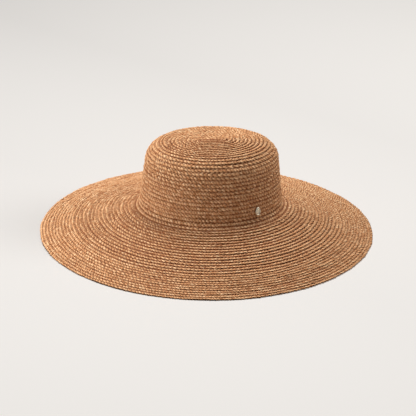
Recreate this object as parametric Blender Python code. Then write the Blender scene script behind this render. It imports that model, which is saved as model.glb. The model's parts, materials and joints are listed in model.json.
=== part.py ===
"""Wide-brimmed sun hat of sewn raffia braid, in metres, +Z up.

The hat stands on the edge of its brim. The origin is on that surface, under the middle of
the brim's outline, and +X runs along the length of the head oval. Every ring of the straw
is drawn with one angle that starts at +X and runs towards +Y.
"""
import math

import bmesh
import bpy
from mathutils import Matrix, Vector

# Head oval inside the crown, where the crown meets the brim
HEAD_LENGTH = 0.196
HEAD_WIDTH = 0.165

# Straw shell: two lapped rounds of braid, and the gap between two shells
STRAW_WALL = 0.0022
ROUND_GAP = 0.0003

# Crown above its corner with the brim
CROWN_HEIGHT = 0.091
WALL_LEAN = math.radians(6.5)
SHOULDER_RADIUS = 0.027
TIP_DOME = 0.002

# Brim: its outline, its fall from the corner, and the rounding of that corner
BRIM_LENGTH = 0.462
BRIM_WIDTH = 0.444
BRIM_DROP = 0.040
CORNER_RADIUS = 0.012
EDGE_HEIGHT = 0.0018
EDGE_FOOT = 0.0015

# The crown is set this far towards +X from the middle of the brim
CROWN_SHIFT = 0.005

# Oval metal pin on the crown's side: its place, plate and post
PIN_ANGLE = math.radians(-58.5)
PIN_HEIGHT = 0.0145
PLATE_WIDTH = 0.0080
PLATE_HEIGHT = 0.0115
PLATE_THICKNESS = 0.0010
PLATE_DOME = 0.0002
POST_RADIUS = 0.0009
POST_END = 0.0004
POST_HOLE_REACH = 0.002
KEEPER_RADIUS = 0.0035
KEEPER_THICKNESS = 0.0008
PIN_CLEARANCE = 0.0003

# Facets around the hat and around the pin, and the step that measures a normal
SEGMENTS = 72
PIN_SEGMENTS = 28
NORMAL_STEP = 0.01

# Rings of each stretch, as shares of its length from the crown's middle outwards
TIP_RINGS = (0.35, 0.70, 1.0)
SHOULDER_RINGS = (1 / 6, 2 / 6, 3 / 6, 4 / 6, 5 / 6, 1.0)
SIDE_RINGS = (0.0, 1 / 3, 2 / 3, 1.0)
CORNER_RINGS = (0.0, 0.25, 0.5, 0.75, 1.0)
BRIM_RINGS = (0.25, 0.5, 0.75, 1.0)

# Domed plate of the pin, from its back to its front
PLATE_PROFILE = (
    # share of the outline, share of the thickness
    (1.00, 0.00),
    (1.00, 0.50),
    (0.94, 0.85),
    (0.80, 1.00),
)

OUTER_HALF_LENGTH = HEAD_LENGTH / 2 + STRAW_WALL
OUTER_HALF_WIDTH = HEAD_WIDTH / 2 + STRAW_WALL
CORNER_LEVEL = EDGE_HEIGHT + BRIM_DROP
CROWN_TOP = CORNER_LEVEL + CROWN_HEIGHT

# The shoulder's arc starts level at the tip and ends along the leaning side
SHOULDER_LEVEL = CROWN_TOP - SHOULDER_RADIUS
SIDE_TOP_LEVEL = SHOULDER_LEVEL + SHOULDER_RADIUS * math.sin(WALL_LEAN)
SIDE_TOP_INSET = (SIDE_TOP_LEVEL - CORNER_LEVEL) * math.tan(WALL_LEAN)
TIP_INSET = SIDE_TOP_INSET + SHOULDER_RADIUS * math.cos(WALL_LEAN)


def clear_scene():
    for item in list(bpy.data.objects):
        bpy.data.objects.remove(item, do_unlink=True)


def straw_material():
    material = bpy.data.materials.new("raffia_straw")
    material.use_nodes = True
    shader = material.node_tree.nodes["Principled BSDF"]
    shader.inputs["Base Color"].default_value = (0.52, 0.28, 0.13, 1.0)
    shader.inputs["Roughness"].default_value = 0.62
    return material


def metal_material():
    material = bpy.data.materials.new("pale_gold_metal")
    material.use_nodes = True
    shader = material.node_tree.nodes["Principled BSDF"]
    shader.inputs["Base Color"].default_value = (0.83, 0.69, 0.45, 1.0)
    shader.inputs["Metallic"].default_value = 1.0
    shader.inputs["Roughness"].default_value = 0.28
    return material


def add_object(name, mesh_builder, material):
    mesh = bpy.data.meshes.new(name)
    mesh_builder.to_mesh(mesh)
    mesh_builder.free()
    mesh.shade_smooth()
    mesh.set_sharp_from_angle(angle=math.radians(35))
    mesh.materials.append(material)
    item = bpy.data.objects.new(name, mesh)
    bpy.context.scene.collection.objects.link(item)
    return item


def crown_ring_point(inset, level, angle):
    """Point on the crown's outer oval, drawn in from the corner by inset."""
    return Vector((
        CROWN_SHIFT + (OUTER_HALF_LENGTH - inset) * math.cos(angle),
        (OUTER_HALF_WIDTH - inset) * math.sin(angle),
        level,
    ))


def tip_point(share, angle):
    """Point of the slightly domed tip, from its middle (0) to the shoulder (1)."""
    middle = Vector((CROWN_SHIFT, 0.0, CROWN_TOP))
    point = middle.lerp(crown_ring_point(TIP_INSET, CROWN_TOP, angle), share)
    point.z += TIP_DOME * (1.0 - share * share)
    return point


def shoulder_point(share, angle):
    """Point of the shoulder's arc, from the tip (0) to the side (1)."""
    turn = math.pi / 2 + (WALL_LEAN - math.pi / 2) * share
    inset = TIP_INSET - SHOULDER_RADIUS * math.cos(turn)
    return crown_ring_point(inset, SHOULDER_LEVEL + SHOULDER_RADIUS * math.sin(turn), angle)


def corner_arc(angle):
    """Centre, start and end of the arc that rounds the crown's corner with the brim."""
    corner = crown_ring_point(0.0, CORNER_LEVEL, angle)
    edge = edge_point(angle)
    up = (crown_ring_point(SIDE_TOP_INSET, SIDE_TOP_LEVEL, angle) - corner).normalized()
    out = (edge - corner).normalized()
    half_angle = up.angle(out) / 2
    reach = CORNER_RADIUS / math.tan(half_angle)
    centre = corner + (up + out).normalized() * CORNER_RADIUS / math.sin(half_angle)
    return centre, corner + up * reach, corner + out * reach


def edge_point(angle):
    """Point of the brim's outline, on the outer face."""
    return Vector((
        BRIM_LENGTH / 2 * math.cos(angle),
        BRIM_WIDTH / 2 * math.sin(angle),
        EDGE_HEIGHT,
    ))


def side_point(share, angle):
    """Point of the crown's side, from the shoulder (0) to the corner's arc (1)."""
    start = crown_ring_point(SIDE_TOP_INSET, SIDE_TOP_LEVEL, angle)
    end = corner_arc(angle)[1]
    return start.lerp(end, share)


def corner_point(share, angle):
    """Point of the corner's arc, from the side (0) to the brim (1)."""
    centre, start, end = corner_arc(angle)
    from_centre = start - centre
    to_end = end - centre
    turn = from_centre.angle(to_end)
    start_weight = math.sin((1.0 - share) * turn) / math.sin(turn)
    end_weight = math.sin(share * turn) / math.sin(turn)
    return centre + from_centre * start_weight + to_end * end_weight


def brim_point(share, angle):
    """Point of the sloping brim, from the corner's arc (0) to the outline (1)."""
    return corner_arc(angle)[2].lerp(edge_point(angle), share)


def outward_normal(point_of, share, angle):
    """Normal of a stretch of the hat, from small steps along it and around it."""
    outwards = point_of(share + NORMAL_STEP, angle) - point_of(share - NORMAL_STEP, angle)
    around = point_of(share, angle + NORMAL_STEP) - point_of(share, angle - NORMAL_STEP)
    return outwards.cross(around).normalized()


def ring(point_of, share, depth=0.0):
    """One ring of points, this far inside the outer face."""
    points = []
    for step in range(SEGMENTS):
        angle = math.tau * step / SEGMENTS
        points.append(point_of(share, angle) - outward_normal(point_of, share, angle) * depth)
    return points


def shell_rings(stations):
    """Outer rings of the stations, and the same rings one wall thickness inside."""
    outer = [ring(point_of, share) for point_of, share in stations]
    inner = [ring(point_of, share, STRAW_WALL) for point_of, share in stations]
    return outer, inner


def link_rings(builder, first, second):
    """Quads between two closed rings of vertices."""
    for step in range(len(first)):
        following = (step + 1) % len(first)
        builder.faces.new((first[step], second[step], second[following], first[following]))


def close_ring(builder, ring_vertices, middle):
    """Triangles from a closed ring of vertices to one middle vertex."""
    for step in range(len(ring_vertices)):
        following = (step + 1) % len(ring_vertices)
        builder.faces.new((ring_vertices[step], ring_vertices[following], middle))


def add_rings(builder, rings):
    return [[builder.verts.new(point) for point in points] for points in rings]


def face_out(builder):
    """Turn every face of a closed body outwards."""
    bmesh.ops.recalc_face_normals(builder, faces=builder.faces[:])
    if builder.calc_volume(signed=True) < 0:
        bmesh.ops.reverse_faces(builder, faces=builder.faces[:])


def straw_tube(rings):
    """Closed straw shell, open in the middle, from the rings around its section."""
    builder = bmesh.new()
    loop = add_rings(builder, rings)
    for row in range(len(loop)):
        link_rings(builder, loop[row], loop[(row + 1) % len(loop)])
    face_out(builder)
    return builder


def make_crown_tip(material):
    """Flat top and round shoulder, closed in the middle."""
    stations = [(tip_point, share) for share in TIP_RINGS]
    stations += [(shoulder_point, share) for share in SHOULDER_RINGS]
    outer, inner = shell_rings(stations)
    builder = bmesh.new()
    loop = add_rings(builder, outer + inner[::-1])
    for row in range(len(loop) - 1):
        link_rings(builder, loop[row], loop[row + 1])
    middle = tip_point(0.0, 0.0)
    close_ring(builder, loop[0], builder.verts.new(middle))
    close_ring(builder, loop[-1], builder.verts.new(middle - Vector((0.0, 0.0, STRAW_WALL))))
    face_out(builder)
    return add_object("crown_tip", builder, material)


def make_crown_side(material):
    """Leaning wall between the shoulder and the corner, one gap short at each end."""
    length = (side_point(1.0, 0.0) - side_point(0.0, 0.0)).length
    margin = ROUND_GAP / length
    shares = [margin + share * (1.0 - 2.0 * margin) for share in SIDE_RINGS]
    outer, inner = shell_rings([(side_point, share) for share in shares])
    side = add_object("crown_side", straw_tube(outer + inner[::-1]), material)
    cutter = make_post_hole_cutter(material)
    hole = side.modifiers.new("post_hole", "BOOLEAN")
    hole.operation = "DIFFERENCE"
    hole.solver = "EXACT"
    hole.object = cutter
    return side


def make_brim(material):
    """Corner arc and sloping brim, cut flat under its edge where it rests."""
    stations = [(corner_point, share) for share in CORNER_RINGS]
    stations += [(brim_point, share) for share in BRIM_RINGS]
    outer, inner = shell_rings(stations)
    edge = outer[-1]
    foot_outside = [Vector((point.x, point.y, 0.0)) for point in edge]
    foot_inside = [
        Vector((
            point.x * (1.0 - 2.0 * EDGE_FOOT / BRIM_LENGTH),
            point.y * (1.0 - 2.0 * EDGE_FOOT / BRIM_WIDTH),
            0.0,
        ))
        for point in edge
    ]
    underside = [foot_outside, foot_inside] + inner[-2::-1]
    return add_object("brim", straw_tube(outer + underside), material)


def pin_frame():
    """Frame on the crown's outer face: X along the wall, Y up it and Z out of it."""
    start = side_point(1.0, PIN_ANGLE)
    top = side_point(0.0, PIN_ANGLE)
    share = (PIN_HEIGHT + CORNER_LEVEL - start.z) / (top.z - start.z)
    place = start.lerp(top, share)
    up = (top - start).normalized()
    out = outward_normal(side_point, share, PIN_ANGLE)
    along = up.cross(out)
    frame = Matrix((along, up, out)).transposed().to_4x4()
    frame.translation = place
    return frame


def facet_sag(reach):
    """How far a wall facet leans away from a flat plate of this half width."""
    return reach * math.tan(math.pi / SEGMENTS)


def oval(half_width, half_height, level):
    """Ring of points in the pin's own frame."""
    return [
        Vector((
            half_width * math.cos(math.tau * step / PIN_SEGMENTS),
            half_height * math.sin(math.tau * step / PIN_SEGMENTS),
            level,
        ))
        for step in range(PIN_SEGMENTS)
    ]


def keeper_level():
    """Level of the keeper's outer face in the pin's frame, inside the wall."""
    return -(STRAW_WALL + PIN_CLEARANCE + facet_sag(KEEPER_RADIUS))


def make_post_hole_cutter(material):
    """Guide cylinder that reaches well past both faces of the wall."""
    builder = bmesh.new()
    bmesh.ops.create_cone(
        builder,
        cap_ends=True,
        segments=PIN_SEGMENTS,
        radius1=POST_RADIUS + PIN_CLEARANCE,
        radius2=POST_RADIUS + PIN_CLEARANCE,
        depth=2.0 * (STRAW_WALL + POST_HOLE_REACH),
    )
    builder.transform(pin_frame())
    cutter = add_object("post_hole_cutter", builder, material)
    cutter.hide_render = True
    cutter.display_type = "WIRE"
    return cutter


def make_side_pin(material):
    """Domed oval plate and its post, one solid."""
    back = PIN_CLEARANCE
    post_tip = keeper_level() - KEEPER_THICKNESS - POST_END
    rings = [oval(POST_RADIUS, POST_RADIUS, level) for level in (post_tip, back)]
    for outline_share, thickness_share in PLATE_PROFILE:
        rings.append(oval(
            PLATE_WIDTH / 2 * outline_share,
            PLATE_HEIGHT / 2 * outline_share,
            back + PLATE_THICKNESS * thickness_share,
        ))
    builder = bmesh.new()
    loop = add_rings(builder, rings)
    for row in range(len(loop) - 1):
        link_rings(builder, loop[row], loop[row + 1])
    close_ring(builder, loop[0], builder.verts.new((0.0, 0.0, post_tip)))
    top = back + PLATE_THICKNESS + PLATE_DOME
    close_ring(builder, loop[-1], builder.verts.new((0.0, 0.0, top)))
    builder.transform(pin_frame())
    face_out(builder)
    return add_object("side_pin", builder, material)


def make_pin_keeper(material):
    """Washer on the post, inside the crown."""
    outer_level = keeper_level()
    inner_level = outer_level - KEEPER_THICKNESS
    hole_radius = POST_RADIUS + PIN_CLEARANCE
    rings = [
        oval(hole_radius, hole_radius, outer_level),
        oval(KEEPER_RADIUS, KEEPER_RADIUS, outer_level),
        oval(KEEPER_RADIUS, KEEPER_RADIUS, inner_level),
        oval(hole_radius, hole_radius, inner_level),
    ]
    builder = bmesh.new()
    loop = add_rings(builder, rings)
    for row in range(len(loop)):
        link_rings(builder, loop[row], loop[(row + 1) % len(loop)])
    builder.transform(pin_frame())
    face_out(builder)
    return add_object("pin_keeper", builder, material)


def build_hat():
    clear_scene()
    straw = straw_material()
    metal = metal_material()
    make_crown_tip(straw)
    make_crown_side(straw)
    make_brim(straw)
    make_side_pin(metal)
    make_pin_keeper(metal)


build_hat()
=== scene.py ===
"""Looks of the raffia sun hat: the plait wound and sewn into its shape, the pin and the studio."""
import json
import math
from collections import namedtuple

import bpy
import numpy as np
from mathutils import Matrix, Vector

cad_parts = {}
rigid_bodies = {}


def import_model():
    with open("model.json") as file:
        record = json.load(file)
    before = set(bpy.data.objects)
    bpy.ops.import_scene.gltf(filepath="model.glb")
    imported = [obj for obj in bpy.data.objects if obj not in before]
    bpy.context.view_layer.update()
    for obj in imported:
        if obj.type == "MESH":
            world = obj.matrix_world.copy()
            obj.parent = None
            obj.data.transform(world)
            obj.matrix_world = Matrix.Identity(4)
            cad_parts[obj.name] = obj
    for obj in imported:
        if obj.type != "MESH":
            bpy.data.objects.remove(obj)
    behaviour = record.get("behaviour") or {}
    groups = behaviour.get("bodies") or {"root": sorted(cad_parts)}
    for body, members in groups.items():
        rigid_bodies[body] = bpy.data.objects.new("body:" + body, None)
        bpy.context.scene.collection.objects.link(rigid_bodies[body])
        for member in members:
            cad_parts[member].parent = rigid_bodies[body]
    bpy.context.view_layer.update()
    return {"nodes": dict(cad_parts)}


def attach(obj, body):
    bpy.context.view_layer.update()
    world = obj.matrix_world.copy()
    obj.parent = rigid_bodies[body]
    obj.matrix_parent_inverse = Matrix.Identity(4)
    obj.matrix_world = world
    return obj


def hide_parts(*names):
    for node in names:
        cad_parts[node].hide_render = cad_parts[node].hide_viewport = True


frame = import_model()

# Sizes of the straw form in metres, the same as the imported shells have
HEAD_LENGTH = 0.196
HEAD_WIDTH = 0.165
STRAW_WALL = 0.0022
CROWN_HEIGHT = 0.091
WALL_LEAN = math.radians(6.5)
SHOULDER_RADIUS = 0.027
TIP_DOME = 0.002
BRIM_LENGTH = 0.462
BRIM_WIDTH = 0.444
BRIM_DROP = 0.040
CORNER_RADIUS = 0.012
EDGE_HEIGHT = 0.0018
CROWN_SHIFT = 0.005

# How straight the long sides of the first rounds on the tip are
START_STRAIGHTNESS = 2.2

# Plait of three strands: its width, the length of one full plait, the strands' section, and
# how far they rise and dip where they cross
PLAIT_WIDTH = 0.0072
PLAIT_PERIOD = 0.0140
STRAND_WIDTH = 0.0034
STRAND_THICKNESS = 0.00115
STRAND_LIFT = 0.00052
STRANDS = 3
SAMPLES_PER_PERIOD = 11

# Strand's path: share of its width that the swing leaves room for at the plait's edge, how
# straight it crosses over, and its length as a share of the plait's
EDGE_SHARE = 0.86
CROSSING_STRAIGHTNESS = 0.085
PATH_LENGTH_SHARE = 1.35

# Section of a strip, with shares of full colour at its inner side, top, outer side and bottom:
# painted shade, darkest on the inner side and a little darker at the bottom
SECTION_CORNERS = 4
SECTION_PAINTED_SHADE = np.array((0.36, 1.0, 1.0, 0.9))

# Unevenness of hand work: how much each value wanders, and how far apart its random knots are
RANDOM_SEED = 7
PACE_WANDER = (0.22, 0.030)
SWAY_WANDER = (0.00028, 0.021)
RISE_WANDER = (0.00016, 0.017)
STRAND_SWAY_WANDER = (0.00016, 0.009)
STRAND_RISE_WANDER = (0.0001, 0.008)
STRAND_WIDTH_WANDER = (0.14, 0.013)
STRAND_THICKNESS_WANDER = (0.15, 0.011)

# Rounds of the plait: distance from one to the next, the share of the brim where they are
# closer, and how many rounds that change takes
ROUND_PITCH = 0.00541
OUTER_PITCH = 0.0042
OUTER_SHARE = 0.36
OUTER_CHANGE = 3.0

# Laps: how much higher a round lies than the next one, by place, and how deep the middle of
# the plait is under the hat's outer face
TIP_LAP_STEP = 0.0015
SIDE_LAP_STEP = 0.0009
INNER_LAP_STEP = 0.0018
OUTER_LAP_STEP = 0.0012
SHELL_DEPTH = 0.0015

# Painted shade of the strands, as shares of full colour, where they pass under each other,
# and how that painted shade follows their height
UNDER_PAINTED_SHADE = 0.42
OUTER_UNDER_PAINTED_SHADE = 0.66
OVER_MIDDLE = 0.6
OVER_SPAN = 0.5

# Painted shade in the crease beside a lap: how dark it is, and where it starts to clear and
# how wide that is
CREASE_PAINTED_SHADE = 0.26
OUTER_CREASE_PAINTED_SHADE = 0.55
CREASE_START = 0.0004
CREASE_WIDTH = 0.0014

# Dark filling between the plait's strands, and the dark seam that closes the lap: both are
# coloured with painted shade where the gaps between strands and rounds would be in shade. The
# seam's height is a share of the lap step, and both have a ring at every third sample.
FILLING_WIDTH = 0.0068
FILLING_THICKNESS = 0.0006
FILLING_PAINTED_SHADE = 0.35
SEAM_INSET = 0.0007
SEAM_WIDTH = 0.0016
SEAM_HEIGHT = 1.6
SEAM_PAINTED_SHADE = 0.15
PLAIN_STEP = 3

# Groove where the crown meets the brim, with painted shade that darkens the creases there
GROOVE_DEPTH = 0.0005
GROOVE_WIDTH = 0.0065
GROOVE_PAINTED_SHADE = 0.55

OUTER_HALF_LENGTH = HEAD_LENGTH / 2 + STRAW_WALL
OUTER_HALF_WIDTH = HEAD_WIDTH / 2 + STRAW_WALL
CORNER_LEVEL = EDGE_HEIGHT + BRIM_DROP
CROWN_TOP = CORNER_LEVEL + CROWN_HEIGHT
SHOULDER_LEVEL = CROWN_TOP - SHOULDER_RADIUS
SIDE_TOP_LEVEL = SHOULDER_LEVEL + SHOULDER_RADIUS * math.sin(WALL_LEAN)
SIDE_TOP_INSET = (SIDE_TOP_LEVEL - CORNER_LEVEL) * math.tan(WALL_LEAN)
TIP_INSET = SIDE_TOP_INSET + SHOULDER_RADIUS * math.cos(WALL_LEAN)
TIP_START_HALF = OUTER_HALF_LENGTH - OUTER_HALF_WIDTH


def unit(vectors):
    shortest = 1e-12
    return vectors / np.maximum(np.linalg.norm(vectors, axis=-1, keepdims=True), shortest)


def smooth(share):
    share = np.clip(share, 0.0, 1.0)
    return share * share * (3.0 - 2.0 * share)


def between(start, end, share):
    return start + (end - start) * share


def oval(centre, half_length, half_width, level, angle):
    """Points of a level oval whose long axis is X and whose centre is on it."""
    return np.stack((
        centre + half_length * np.cos(angle),
        half_width * np.sin(angle),
        np.broadcast_to(level, np.shape(angle)),
    ), axis=-1)


def crown_oval(inset, level, angle):
    return oval(CROWN_SHIFT, OUTER_HALF_LENGTH - inset, OUTER_HALF_WIDTH - inset, level, angle)


def edge_oval(angle):
    return oval(0.0, BRIM_LENGTH / 2, BRIM_WIDTH / 2, EDGE_HEIGHT, angle)


def corner_frame(angle):
    """Centre, start, end and turn of the arc between the crown's side and the brim."""
    corner = crown_oval(0.0, CORNER_LEVEL, angle)
    up = unit(crown_oval(SIDE_TOP_INSET, SIDE_TOP_LEVEL, angle) - corner)
    out = unit(edge_oval(angle) - corner)
    half = np.arccos(np.clip((up * out).sum(-1), -1, 1))[..., None] / 2
    centre = corner + unit(up + out) * CORNER_RADIUS / np.sin(half)
    reach = CORNER_RADIUS / np.tan(half)
    return centre, corner + up * reach, corner + out * reach, np.pi - 2 * half


def tip_points(share, angle):
    """Flat tip whose rounds start about a short line and grow into the head oval."""
    distance = TIP_LENGTH * share
    start_shape = np.tanh(START_STRAIGHTNESS * np.cos(angle)) / math.tanh(START_STRAIGHTNESS)
    along = between(start_shape, np.cos(angle), smooth(share))
    return np.stack((
        CROWN_SHIFT + TIP_START_HALF * along + distance * np.cos(angle),
        distance * np.sin(angle),
        CROWN_TOP + TIP_DOME * (1 - share * share),
    ), axis=-1)


def shoulder_points(share, angle):
    turn = between(np.pi / 2, WALL_LEAN, share)
    inset = TIP_INSET - SHOULDER_RADIUS * np.cos(turn)
    return crown_oval(inset, SHOULDER_LEVEL + SHOULDER_RADIUS * np.sin(turn), angle)


def side_points(share, angle):
    start = crown_oval(SIDE_TOP_INSET, SIDE_TOP_LEVEL, angle)
    return between(start, corner_frame(angle)[1], share[..., None])


def corner_points(share, angle):
    centre, start, end, turn = corner_frame(angle)
    share = share[..., None]
    first = np.sin((1 - share) * turn) / np.sin(turn)
    second = np.sin(share * turn) / np.sin(turn)
    return centre + (start - centre) * first + (end - centre) * second


def brim_points(share, angle):
    return between(corner_frame(angle)[2], edge_oval(angle), share[..., None])


def stretch_lengths():
    """Lengths of the five stretches of the section, measured on the hat's short axis."""
    angle = np.array([np.pi / 2])
    _, start, end, turn = corner_frame(angle)
    side = np.linalg.norm(start - crown_oval(SIDE_TOP_INSET, SIDE_TOP_LEVEL, angle))
    brim = np.linalg.norm(edge_oval(angle) - end)
    return (
        OUTER_HALF_WIDTH - TIP_INSET,
        SHOULDER_RADIUS * (np.pi / 2 - WALL_LEAN),
        side,
        CORNER_RADIUS * float(turn[0, 0]),
        brim,
    )


# Distances along the section, from the middle of the tip, where tip, shoulder, side, corner
# and brim start, and where the brim ends
STRETCHES = stretch_lengths()
STARTS = np.concatenate(([0.0], np.cumsum(STRETCHES)))
TIP_LENGTH = STRETCHES[0]
SECTION_LENGTH = STARTS[-1]


def surface(distance, angle):
    """Points of the hat's outer face at a distance along its section from the middle."""
    makers = (tip_points, shoulder_points, side_points, corner_points, brim_points)
    distance, angle = np.broadcast_arrays(distance, angle)
    stretch = np.clip(np.searchsorted(STARTS, distance, side="right") - 1, 0, len(makers) - 1)
    points = np.empty(distance.shape + (3,))
    for number, maker in enumerate(makers):
        here = stretch == number
        if here.any():
            share = (distance[here] - STARTS[number]) / STRETCHES[number]
            points[here] = maker(share, angle[here])
    return points


def surface_normals(distance, angle):
    along_step = 0.0004
    angle_step = 0.004
    outwards = surface(distance + along_step, angle) - surface(distance - along_step, angle)
    around = surface(distance, angle + angle_step) - surface(distance, angle - angle_step)
    return unit(np.cross(outwards, around))


# Winding of the plait, counted in rounds: a straight start along the middle of the tip, a
# step out from it, rounds about it up to the brim's edge, and the share of a round in which
# the round inside takes the edge over from the tail
START_TURN = 0.0
STRAIGHT_START = -0.5
FIRST_STEP = 0.5
FIRST_BEND = 0.2
EDGE_DISTANCE = SECTION_LENGTH - PLAIT_WIDTH / 2
OUTER_START = STARTS[4] + STRETCHES[4] * (1 - OUTER_SHARE)
OUTER_START_ROUND = OUTER_START / ROUND_PITCH - FIRST_STEP
LAST_ROUND = OUTER_START_ROUND + (EDGE_DISTANCE - OUTER_START) / OUTER_PITCH
END_BLEND = 0.16
MEASURING_STEP = 1 / 360

# Tail: its length, how much deeper it ends, and its last width and swing as shares of the full
TAIL_LENGTH = 0.05
TAIL_DEPTH = 0.0007
TAIL_WIDTH = 0.4
TAIL_SWING = 0.35

# Middle of the groove, and the lap step along the section: distance, step
GROOVE_PLACE = (STARTS[3] + STARTS[4]) / 2
LAP_STEPS = (
    (STARTS[1], TIP_LAP_STEP),
    (STARTS[2], SIDE_LAP_STEP),
    (STARTS[3], SIDE_LAP_STEP),
    (STARTS[4] + ROUND_PITCH, INNER_LAP_STEP),
    (OUTER_START - ROUND_PITCH, INNER_LAP_STEP),
    (OUTER_START + ROUND_PITCH, OUTER_LAP_STEP),
)


def round_distance(rounds):
    """Distance of the plait's middle line along the section, for each count of rounds.

    The outer rounds are spaced so that the outermost one lies on the edge all the way round.
    Along the last stretch, the round inside moves out and takes the edge over from the tail."""
    inner = ROUND_PITCH * (np.maximum(rounds, 0.0) + FIRST_STEP * smooth(rounds / FIRST_BEND))
    past_end = np.mod(rounds - LAST_ROUND, 1.0)
    moving_out = smooth((past_end - 1 + END_BLEND) / END_BLEND)
    settled = np.where(past_end < 1 - END_BLEND, past_end, (1 - END_BLEND) * (1 - moving_out))
    outermost = LAST_ROUND - 1 + settled
    share = (rounds - OUTER_START_ROUND) / (outermost - OUTER_START_ROUND)
    outer = between(OUTER_START, EDGE_DISTANCE, share)
    return np.where(rounds < OUTER_START_ROUND, inner, np.minimum(outer, EDGE_DISTANCE))


def wander(random, even, amount, spacing):
    """Smooth random curve along the plait: its usual size, and the distance between its knots."""
    spare_knots = 4
    count = int(even[-1] / spacing) + spare_knots
    knots = random.standard_normal(count)
    place = even / spacing
    knot = np.clip(place.astype(int), 0, count - 2)
    return amount * between(knots[knot], knots[knot + 1], smooth(place - knot))


def wind_plait():
    """Even steps along the plait: length so far, rounds, points, normals and outward directions."""
    rounds = np.arange(STRAIGHT_START, LAST_ROUND, MEASURING_STEP)
    line = surface(round_distance(rounds), (rounds + START_TURN) * math.tau)
    length = np.concatenate(([0.0], np.cumsum(np.linalg.norm(np.diff(line, axis=0), axis=1))))
    even = np.arange(0.0, length[-1], PLAIT_PERIOD / SAMPLES_PER_PERIOD)
    rounds = np.interp(even, length, rounds)
    distance = round_distance(rounds)
    angle = (rounds + START_TURN) * math.tau
    points = surface(distance, angle)
    normal = surface_normals(distance, angle)
    normal[distance < ROUND_PITCH] = (0.0, 0.0, 1.0)
    outward = unit(np.cross(np.gradient(points, axis=0), normal))
    return even, rounds, points, normal, outward


Strip = namedtuple("Strip", "points width thickness shade step")


def plait_strips(even, rounds, line, normal, outward):
    """Strips that make the plait: three strands, a dark filling between them and the seam of the lap.

    Each has points, widths, thicknesses and painted shades, and its own step in samples. The
    normals that come with them are tilted as the lapped plait is."""
    random = np.random.default_rng(RANDOM_SEED)
    pace = np.cumsum(1 + wander(random, even, *PACE_WANDER)) * (even[1] - even[0]) / PLAIT_PERIOD
    sway = wander(random, even, *SWAY_WANDER)
    rise = wander(random, even, *RISE_WANDER)

    distance = round_distance(rounds)
    outer = smooth((rounds - OUTER_START_ROUND) / OUTER_CHANGE + 0.5)
    pitch = between(ROUND_PITCH, OUTER_PITCH, outer)
    lap_step = np.interp(distance, *zip(*LAP_STEPS))
    slope = lap_step / pitch
    hidden = PLAIT_WIDTH / 2 - pitch
    groove = np.exp(-((distance - GROOVE_PLACE) / GROOVE_WIDTH) ** 2)
    # Painted shade of the lap's crease, darker still in the groove at the corner
    crease = between(CREASE_PAINTED_SHADE, OUTER_CREASE_PAINTED_SHADE, outer) * (1 - GROOVE_PAINTED_SHADE * groove)
    under = between(UNDER_PAINTED_SHADE, OUTER_UNDER_PAINTED_SHADE, outer)
    finish = smooth((even[-1] - even) / TAIL_LENGTH)
    depth = TAIL_DEPTH * (1 - finish) + SHELL_DEPTH + GROOVE_DEPTH * groove
    narrowed = between(TAIL_WIDTH, 1.0, finish)
    swing = (PLAIT_WIDTH - STRAND_WIDTH * EDGE_SHARE) / 2 * between(TAIL_SWING, 1.0, finish)

    def place(across, lift):
        height = lift + slope * across - depth
        return line + outward * across[:, None] + normal * height[:, None]

    def plain_strip(across, lift, width, thickness, shade):
        thickness = np.broadcast_to(thickness, even.shape)
        shade = np.broadcast_to(shade, even.shape)
        return Strip(place(across, lift), width * narrowed, thickness, shade, PLAIN_STEP)

    strips = []
    for strand in range(STRANDS):
        phase = math.tau * (pace + strand / STRANDS)
        across = swing * (np.sin(phase) - CROSSING_STRAIGHTNESS * np.sin(3 * phase))
        across = across + sway + wander(random, even, *STRAND_SWAY_WANDER)
        lift = STRAND_LIFT * np.sin(2 * phase) + rise + wander(random, even, *STRAND_RISE_WANDER)
        width = STRAND_WIDTH * (1 + wander(random, even, *STRAND_WIDTH_WANDER)) * narrowed
        thickness = STRAND_THICKNESS * (1 + wander(random, even, *STRAND_THICKNESS_WANDER))
        # Painted shade: darker where a strand passes under another and in the crease beside the lap
        over = smooth(OVER_MIDDLE + OVER_SPAN * np.sin(2 * phase))
        shown = smooth((across - hidden - CREASE_START) / CREASE_WIDTH)
        shade = between(under, 1.0, over) * between(crease, 1.0, shown)
        strips.append(Strip(place(across, lift), width, thickness, shade, 1))
    middle = np.zeros(even.shape)
    # Dark filling and seam: painted shade in the gaps between strands and rounds
    strips.append(plain_strip(middle, rise, FILLING_WIDTH, FILLING_THICKNESS, FILLING_PAINTED_SHADE))
    seam_height = lap_step * SEAM_HEIGHT
    strips.append(plain_strip(hidden - SEAM_INSET, lap_step / 2, SEAM_WIDTH, seam_height, SEAM_PAINTED_SHADE))
    return strips, unit(normal - outward * slope[:, None])


def sweep(points, normal, width, thickness):
    """Rings of four corners along a strip: inner side, top, outer side, bottom.

    What would reach under the surface that the hat stands on is pressed flat."""
    tangent = unit(np.gradient(points, axis=0))
    sideways = unit(np.cross(normal, tangent))
    upwards = np.cross(tangent, sideways)
    turn = math.tau * np.arange(SECTION_CORNERS) / SECTION_CORNERS
    ring = points[:, None, :] + sideways[:, None, :] * (width[:, None] / 2 * np.cos(turn))[..., None]
    ring = ring + upwards[:, None, :] * (thickness[:, None] / 2 * np.sin(turn))[..., None]
    ring[..., 2] = np.maximum(ring[..., 2], 0.0)
    return ring


# Coordinates on the mesh. The fibre's are metres along a strip and a share round it, with each
# strip's set off from the last. The bake's lay all rows of faces out in lines of equal length.
FIBRE_OFFSET = 7.0
BAKE_ROW_LENGTH = PLAIT_PERIOD / SAMPLES_PER_PERIOD * PATH_LENGTH_SHARE
BAKE_LINE_WIDTH = 2 * math.hypot(STRAND_WIDTH, STRAND_THICKNESS)
BAKE_LINE_MARGIN = 0.04
BAKE_ROW_FILL = 0.999


def face_places(near, far, low, high):
    """Coordinates of the four corners of each face, from its two ends and its two edges."""
    near, far, low, high = np.broadcast_arrays(near, far, low, high)
    return np.stack((near, low, near, high, far, high, far, low), axis=-1).reshape(-1, 2)


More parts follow.
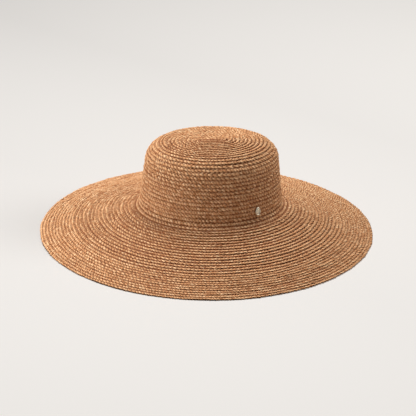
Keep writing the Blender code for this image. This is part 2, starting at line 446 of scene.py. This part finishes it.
def plait_mesh(name, strips, normal, even, first, last):
    """One piece of the plait between two samples, with fibre and bake coordinates."""
    picks = [np.unique(np.append(np.arange(first, last, strip.step), last - 1)) for strip in strips]
    row_total = sum(len(picked) - 1 for picked in picks)
    line_total = max(1, round(math.sqrt(row_total * BAKE_ROW_LENGTH / BAKE_LINE_WIDTH)))
    line_rows = math.ceil(row_total / line_total)
    corners = np.arange(SECTION_CORNERS)
    round_share = np.arange(SECTION_CORNERS + 1) / SECTION_CORNERS
    line_share = between(BAKE_LINE_MARGIN, 1 - BAKE_LINE_MARGIN, round_share)
    vertices, faces, ends, shades, fibre, bake = [], [], [], [], [], []
    vertex_total = 0
    row_count = 0
    for number, (strip, picked) in enumerate(zip(strips, picks)):
        rings = sweep(strip.points[picked], normal[picked], strip.width[picked], strip.thickness[picked])
        vertices.append(rings.reshape(-1, 3))
        # Painted shade at each corner of the strip's section
        shades.append((strip.shade[picked, None] * SECTION_PAINTED_SHADE).ravel())

        rows = np.arange(len(picked) - 1)[:, None]
        here = vertex_total + rows * SECTION_CORNERS + corners
        beside = vertex_total + rows * SECTION_CORNERS + (corners + 1) % SECTION_CORNERS
        quads = (here, beside, beside + SECTION_CORNERS, here + SECTION_CORNERS)
        faces.append(np.stack(quads, axis=-1).reshape(-1, 4))
        ends.append(vertex_total + corners[::-1])
        ends.append(vertex_total + len(rows) * SECTION_CORNERS + corners)

        around = number * FIBRE_OFFSET + round_share
        fibre.append(face_places(even[picked[:-1], None], even[picked[1:], None], around[:-1], around[1:]))

        line, column = np.divmod(row_count + rows, line_rows)
        near = column / line_rows
        far = (column + BAKE_ROW_FILL) / line_rows
        low = (line + line_share[:-1]) / line_total
        high = (line + line_share[1:]) / line_total
        bake.append(face_places(near, far, low, high))
        vertex_total += len(picked) * SECTION_CORNERS
        row_count += len(rows)

    faces = np.concatenate(faces + [np.array(ends)])
    blank = np.zeros((len(ends) * 4, 2))
    mesh = bpy.data.meshes.new(name)
    mesh.vertices.add(vertex_total)
    mesh.vertices.foreach_set("co", np.concatenate(vertices).ravel())
    mesh.loops.add(faces.size)
    mesh.loops.foreach_set("vertex_index", faces.ravel())
    mesh.polygons.add(len(faces))
    mesh.polygons.foreach_set("loop_start", np.arange(len(faces)) * 4)
    mesh.polygons.foreach_set("loop_total", np.full(len(faces), 4))
    mesh.polygons.foreach_set("use_smooth", np.ones(len(faces), bool))
    mesh.update(calc_edges=True)
    # Painted shade of the plait, which its material reads
    mesh.attributes.new("shade", "FLOAT", "POINT").data.foreach_set("value", np.concatenate(shades))
    for layer, places in (("Fibre", fibre), ("OFBake", bake)):
        flat = np.concatenate(places + [blank]).ravel()
        mesh.uv_layers.new(name=layer).data.foreach_set("uv", flat)
    mesh.validate()
    return mesh


# Pieces that the plait is cut into, each where the last one ends, so that none has too many
# triangles: name, distance along the section to its end, node that it stands for
PIECES = (
    ("crown_tip_plait", STARTS[2], "crown_tip"),
    ("crown_side_plait", STARTS[3], "crown_side"),
    ("brim_plait_1", STARTS[3] + 0.046, "brim"),
    ("brim_plait_2", STARTS[3] + 0.082, "brim"),
    ("brim_plait_3", STARTS[3] + 0.108, "brim"),
    ("brim_plait_4", STARTS[3] + 0.126, "brim"),
    ("brim_plait_5", SECTION_LENGTH, "brim"),
)


def make_plait(material):
    even, rounds, points, normal, outward = wind_plait()
    strips, tilted = plait_strips(even, rounds, points, normal, outward)
    distance = round_distance(rounds)
    first = 0
    for name, end, node in PIECES:
        last = int(np.searchsorted(distance, end))
        mesh = plait_mesh(name, strips, tilted, even, first, min(last + 1, len(even)))
        mesh.materials.append(material)
        piece = bpy.data.objects.new(name, mesh)
        bpy.context.scene.collection.objects.link(piece)
        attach(piece, "root")
        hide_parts(node)
        first = last


def new_material(name):
    material = bpy.data.materials.new(name)
    material.use_nodes = True
    return material, material.node_tree, material.node_tree.nodes["Principled BSDF"]


def noise(tree, place, scale, detail, roughness):
    """Noise read at a place that is scaled by its own factor along each axis."""
    mapping = tree.nodes.new("ShaderNodeMapping")
    mapping.inputs["Scale"].default_value = scale
    texture = tree.nodes.new("ShaderNodeTexNoise")
    texture.inputs["Scale"].default_value = 1.0
    texture.inputs["Detail"].default_value = detail
    texture.inputs["Roughness"].default_value = roughness
    tree.links.new(place, mapping.inputs["Vector"])
    tree.links.new(mapping.outputs["Vector"], texture.inputs["Vector"])
    return texture.outputs["Fac"]


def ramp(tree, value, stops):
    """Colour ramp through stops of a place and a colour."""
    node = tree.nodes.new("ShaderNodeValToRGB")
    elements = node.color_ramp.elements
    while len(elements) < len(stops):
        elements.new(0.5)
    for element, (place, colour) in zip(elements, stops):
        element.position = place
        element.color = (*colour, 1.0)
    tree.links.new(value, node.inputs["Fac"])
    return node.outputs["Color"]


def map_range(tree, value, start=(0.0, 1.0), end=(0.0, 1.0), interpolation="LINEAR"):
    """Value taken from the range start to the range end."""
    node = tree.nodes.new("ShaderNodeMapRange")
    node.interpolation_type = interpolation
    for label, limits in (("From", start), ("To", end)):
        node.inputs[label + " Min"].default_value = limits[0]
        node.inputs[label + " Max"].default_value = limits[1]
    tree.links.new(value, node.inputs["Value"])
    return node.outputs["Result"]


def shaded(tree, colour, dark):
    """Colour that turns into a dark one where the mesh's painted shade is low."""
    shade = tree.nodes.new("ShaderNodeAttribute")
    shade.attribute_name = "shade"
    mixed = tree.nodes.new("ShaderNodeMix")
    mixed.data_type = "RGBA"
    mixed.inputs["A"].default_value = (*dark, 1.0)
    tree.links.new(shade.outputs["Fac"], mixed.inputs["Factor"])
    tree.links.new(colour, mixed.inputs["B"])
    return mixed.outputs["Result"]


def mix_shaders(tree, factor, first, second, output):
    """Send the mix of two shaders to the tree's output node."""
    mixed = tree.nodes.new("ShaderNodeMixShader")
    tree.links.new(factor, mixed.inputs["Fac"])
    tree.links.new(first, mixed.inputs[1])
    tree.links.new(second, mixed.inputs[2])
    tree.links.new(mixed.outputs["Shader"], tree.nodes[output].inputs["Surface"])


# Raffia: fine streaks and slow patches, with scales per metre along a strip and per turn
# round it, and what share of the colour each gives
STREAK_SCALE = (55.0, 11.0, 1.0)
PATCH_SCALE = (150.0, 1.6, 1.0)
STREAK_SHARE = 0.45
PATCH_SHARE = 0.55
RAFFIA_COLOURS = (
    (0.36, (0.36, 0.148, 0.062)),
    (0.46, (0.54, 0.272, 0.125)),
    (0.54, (0.66, 0.382, 0.200)),
    (0.64, (0.80, 0.540, 0.320)),
)
# Colour that the plait's painted shade darkens towards
RAFFIA_PAINTED_SHADE = (0.15, 0.038, 0.013)
RAFFIA_ROUGHNESS = (0.66, 0.9)
RAFFIA_SPECULAR = 0.08
FIBRE_BUMP = 0.30
FIBRE_BUMP_HEIGHT = 0.0002


def raffia_material():
    material, tree, shader = new_material("raffia")
    fibre = tree.nodes.new("ShaderNodeUVMap")
    fibre.uv_map = "Fibre"
    streaks = noise(tree, fibre.outputs["UV"], STREAK_SCALE, detail=3.0, roughness=0.6)
    patches = noise(tree, fibre.outputs["UV"], PATCH_SCALE, detail=2.0, roughness=0.5)
    patch_part = tree.nodes.new("ShaderNodeMath")
    patch_part.operation = "MULTIPLY"
    patch_part.inputs[1].default_value = PATCH_SHARE
    mixed = tree.nodes.new("ShaderNodeMath")
    mixed.operation = "MULTIPLY_ADD"
    mixed.inputs[1].default_value = STREAK_SHARE
    tree.links.new(patches, patch_part.inputs[0])
    tree.links.new(streaks, mixed.inputs[0])
    tree.links.new(patch_part.outputs["Value"], mixed.inputs[2])
    colour = shaded(tree, ramp(tree, mixed.outputs["Value"], RAFFIA_COLOURS), RAFFIA_PAINTED_SHADE)
    bump = tree.nodes.new("ShaderNodeBump")
    bump.inputs["Strength"].default_value = FIBRE_BUMP
    bump.inputs["Distance"].default_value = FIBRE_BUMP_HEIGHT
    tree.links.new(streaks, bump.inputs["Height"])
    tree.links.new(colour, shader.inputs["Base Color"])
    tree.links.new(map_range(tree, streaks, end=RAFFIA_ROUGHNESS), shader.inputs["Roughness"])
    tree.links.new(bump.outputs["Normal"], shader.inputs["Normal"])
    shader.inputs["Specular IOR Level"].default_value = RAFFIA_SPECULAR
    return material


# Pale metal: scratches per metre along each axis, its colours, and the colour of the painted
# shade on the pin's back, post and grooves
SCRATCH_SCALE = (700.0, 700.0, 4000.0)
METAL_COLOURS = (
    (0.35, (0.78, 0.71, 0.55)),
    (0.65, (0.97, 0.92, 0.78)),
)
METAL_PAINTED_SHADE = (0.22, 0.17, 0.10)
METAL_ROUGHNESS = (0.24, 0.46)


def metal_material(name, with_painted_shade):
    """Pale brushed metal; one with painted shade is darker where its mesh's shade is low."""
    material, tree, shader = new_material(name)
    place = tree.nodes.new("ShaderNodeTexCoord")
    scratches = noise(tree, place.outputs["Object"], SCRATCH_SCALE, detail=4.0, roughness=0.5)
    colour = ramp(tree, scratches, METAL_COLOURS)
    if with_painted_shade:
        colour = shaded(tree, colour, METAL_PAINTED_SHADE)
    tree.links.new(colour, shader.inputs["Base Color"])
    tree.links.new(map_range(tree, scratches, end=METAL_ROUGHNESS), shader.inputs["Roughness"])
    shader.inputs["Metallic"].default_value = 1.0
    return material


# Side pin: its place round the crown and above the corner, the plate's size and its gap from
# the straw, and the post, which ends inside the crown, with the post's painted shade
PIN_ANGLE = math.radians(-58.5)
PIN_HEIGHT = 0.0145
PLATE_WIDTH = 0.0080
PLATE_HEIGHT = 0.0115
PLATE_THICKNESS = 0.0010
PLATE_GAP = 0.0003
POST_RADIUS = 0.0009
POST_TIP = -0.0038
POST_PAINTED_SHADE = 0.5
PIN_SIDES = 48

# Plate's section from its back to its middle: share of outline, of thickness, of full colour;
# the colour is painted shade, darker on the back and in the grooves
PLATE_SECTION = (
    (1.00, 0.00, 0.4),
    (1.00, 0.45, 0.7),
    (0.96, 0.95, 1.0),
    (0.88, 1.15, 1.0),
    (0.80, 0.95, 0.8),
    (0.75, 0.50, 0.3),
    (0.68, 0.45, 0.2),
    (0.62, 0.75, 0.6),
    (0.50, 1.05, 1.0),
    (0.36, 0.95, 0.8),
    (0.28, 0.60, 0.3),
    (0.20, 0.85, 0.8),
    (0.10, 1.05, 1.0),
)


def pin_frame():
    """Frame on the crown's outer face: its place, and the directions along, up and out of it."""
    angle = np.array([PIN_ANGLE])
    foot = side_points(np.array([1.0]), angle)[0]
    top = side_points(np.array([0.0]), angle)[0]
    share = (PIN_HEIGHT + CORNER_LEVEL - foot[2]) / (top[2] - foot[2])
    out = surface_normals(np.array([STARTS[2] + STRETCHES[2] * (1 - share)]), angle)[0]
    up = unit(top - foot)
    return between(foot, top, share), np.cross(up, out), up, out


def make_pin(metal, shaded_metal):
    """Plate with a rim and a domed middle, on the post that the keeper holds."""
    place, along, up, out = pin_frame()
    sections = [
        (POST_RADIUS, POST_RADIUS, POST_TIP, POST_PAINTED_SHADE),
        (POST_RADIUS, POST_RADIUS, PLATE_GAP, POST_PAINTED_SHADE),
    ]
    for outline, level, shade in PLATE_SECTION:
        height = PLATE_GAP + PLATE_THICKNESS * level
        sections.append((PLATE_WIDTH / 2 * outline, PLATE_HEIGHT / 2 * outline, height, shade))
    turn = math.tau * np.arange(PIN_SIDES) / PIN_SIDES
    points = [
        place + np.outer(np.cos(turn) * wide, along) + np.outer(np.sin(turn) * high, up) + out * level
        for wide, high, level, _ in sections
    ]
    points.append(np.array([place + out * sections[0][2], place + out * sections[-1][2]]))
    # Painted shade of each ring, darker on the back, the post and in the grooves
    shades = np.repeat([shade for *_, shade in sections], PIN_SIDES)

    last_ring = (len(sections) - 1) * PIN_SIDES
    tip_centre = len(sections) * PIN_SIDES
    plate_centre = tip_centre + 1
    faces = []
    for side in range(PIN_SIDES):
        beside = (side + 1) % PIN_SIDES
        for low in range(0, last_ring, PIN_SIDES):
            faces.append((low + side, low + beside, low + PIN_SIDES + beside, low + PIN_SIDES + side))
        faces.append((tip_centre, beside, side))
        faces.append((plate_centre, last_ring + side, last_ring + beside))
    mesh = bpy.data.meshes.new("pin_plate")
    mesh.from_pydata(np.concatenate(points).tolist(), [], faces)
    attribute = mesh.attributes.new("shade", "FLOAT", "POINT")
    attribute.data.foreach_set("value", np.append(shades, (POST_PAINTED_SHADE, 1.0)))
    mesh.shade_smooth()
    mesh.materials.append(shaded_metal)
    plate = bpy.data.objects.new("pin_plate", mesh)
    bpy.context.scene.collection.objects.link(plate)
    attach(plate, "root")
    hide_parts("side_pin")
    keeper = frame["nodes"]["pin_keeper"]
    keeper.data.materials.clear()
    keeper.data.materials.append(metal)


# Studio: the colour of its light, how bright the backdrop is seen, and how much light it gives
LIGHT_COLOUR = (1.0, 0.985, 0.965)
BACKDROP_STRENGTH = 0.78
STUDIO_STRENGTH = 0.03

# Floor: its size, and its colours along a direction between two distances from the hat's
# middle, a painted gradient of light that is brighter towards the front left
FLOOR_SIZE = 16.0
FLOOR_DIRECTION = (-0.77, -0.64, 0.0)
FLOOR_REACH = (-1.0, 0.56)
FLOOR_PAINTED_LIGHT_COLOURS = (
    (0.0, (0.60, 0.588, 0.574)),
    (0.35, (0.605, 0.592, 0.579)),
    (0.65, (0.72, 0.705, 0.690)),
    (1.0, (0.93, 0.912, 0.893)),
)
FLOOR_ROUGHNESS = 0.9
FLOOR_SPECULAR = 0.1

# Distances from the hat between which the floor turns into the pale backdrop
FLOOR_FADE = (1.3, 2.6)


def make_stage():
    bpy.ops.mesh.primitive_plane_add(size=FLOOR_SIZE, location=(0.0, 0.0, 0.0))
    floor = bpy.context.object
    floor.name = "studio_floor"
    material, tree, shader = new_material("studio_floor")
    place = tree.nodes.new("ShaderNodeTexCoord")
    across = tree.nodes.new("ShaderNodeVectorMath")
    across.operation = "DOT_PRODUCT"
    across.inputs[1].default_value = FLOOR_DIRECTION
    away = tree.nodes.new("ShaderNodeVectorMath")
    away.operation = "LENGTH"
    for measure in (across, away):
        tree.links.new(place.outputs["Object"], measure.inputs[0])
    share = map_range(tree, across.outputs["Value"], start=FLOOR_REACH)
    tree.links.new(ramp(tree, share, FLOOR_PAINTED_LIGHT_COLOURS), shader.inputs["Base Color"])
    shader.inputs["Roughness"].default_value = FLOOR_ROUGHNESS
    shader.inputs["Specular IOR Level"].default_value = FLOOR_SPECULAR
    glow = tree.nodes.new("ShaderNodeEmission")
    glow.inputs["Color"].default_value = (*LIGHT_COLOUR, 1.0)
    glow.inputs["Strength"].default_value = BACKDROP_STRENGTH
    fade = map_range(tree, away.outputs["Value"], start=FLOOR_FADE, interpolation="SMOOTHSTEP")
    mix_shaders(tree, fade, shader.outputs["BSDF"], glow.outputs["Emission"], "Material Output")
    floor.data.materials.append(material)


# Camera of the photo: where it stands about the crown, the point that it aims at, seen from
# the crown's middle at floor height, and its lens
CAMERA_TURN = math.radians(10.4)
CAMERA_RISE = math.radians(23.84)
CAMERA_DISTANCE = 2.898
CAMERA_AIM = Vector((-0.0039, 0.0, 0.0326))
CAMERA_ROLL = math.radians(1.35)
FOCAL_PIXELS = 2092.0
PHOTO_WIDTH = 416.0
SENSOR_WIDTH = 36.0
CLIP_DISTANCE = 50.0


def make_camera():
    turn = Matrix.Rotation(-CAMERA_TURN, 3, "Z")
    aim = turn @ CAMERA_AIM + Vector((CROWN_SHIFT, 0.0, 0.0))
    back = turn @ Vector((0.0, -math.cos(CAMERA_RISE), math.sin(CAMERA_RISE)))
    right = turn @ Vector((1.0, 0.0, 0.0))
    up = back.cross(right)
    rolled_right = right * math.cos(CAMERA_ROLL) + up * math.sin(CAMERA_ROLL)
    rolled_up = back.cross(rolled_right)
    data = bpy.data.cameras.new("photo_camera")
    data.sensor_width = SENSOR_WIDTH
    data.lens = FOCAL_PIXELS / PHOTO_WIDTH * SENSOR_WIDTH
    data.clip_end = CLIP_DISTANCE
    camera = bpy.data.objects.new("photo_camera", data)
    camera.matrix_world = Matrix((rolled_right, rolled_up, back)).transposed().to_4x4()
    camera.matrix_world.translation = aim + back * CAMERA_DISTANCE
    bpy.context.scene.collection.objects.link(camera)
    bpy.context.scene.camera = camera


# Soft lights, all as far from the hat: name, degrees round to the camera's left, degrees up,
# size, watts. One of them lights only the hat, because the photo's floor shows no shadow of it.
LIGHT_DISTANCE = 2.4
LIGHTS = (
    ("back_light", 194.0, 68.0, 1.2, 63.0),
    ("left_light", 78.0, 22.0, 1.5, 80.0),
    ("right_light", 272.0, 32.0, 1.2, 25.0),
)
HAT_LIGHT = "left_light"


def make_light():
    hat = bpy.data.collections.new("hat")
    for piece in bpy.data.objects:
        if piece.type == "MESH" and piece.name != "studio_floor":
            hat.objects.link(piece)
    for name, around, rise, size, power in LIGHTS:
        data = bpy.data.lights.new(name, "AREA")
        data.shape = "DISK"
        data.size = size
        data.energy = power
        data.color = LIGHT_COLOUR
        light = bpy.data.objects.new(name, data)
        turn = Matrix.Rotation(-CAMERA_TURN - math.radians(around), 3, "Z")
        lift = math.radians(rise)
        light.location = turn @ Vector((0.0, -math.cos(lift), math.sin(lift))) * LIGHT_DISTANCE
        light.rotation_euler = light.location.to_track_quat("Z", "Y").to_euler()
        bpy.context.scene.collection.objects.link(light)
        if name == HAT_LIGHT:
            light.light_linking.receiver_collection = hat
    bpy.context.scene.world = make_world()
    bpy.context.scene.view_settings.view_transform = "Standard"


def make_world():
    """Pale studio all round, which is seen brighter than the little light that it gives."""
    world = bpy.data.worlds.new("studio")
    world.use_nodes = True
    tree = world.node_tree
    fill = tree.nodes["Background"]
    backdrop = tree.nodes.new("ShaderNodeBackground")
    for background, strength in ((fill, STUDIO_STRENGTH), (backdrop, BACKDROP_STRENGTH)):
        background.inputs["Color"].default_value = (*LIGHT_COLOUR, 1.0)
        background.inputs["Strength"].default_value = strength
    seen = tree.nodes.new("ShaderNodeLightPath").outputs["Is Camera Ray"]
    mix_shaders(tree, seen, fill.outputs["Background"], backdrop.outputs["Background"], "World Output")
    return world


make_plait(raffia_material())
make_pin(metal_material("pale_metal", with_painted_shade=False), metal_material("pale_metal_painted_shade", with_painted_shade=True))
make_stage()
make_camera()
make_light()
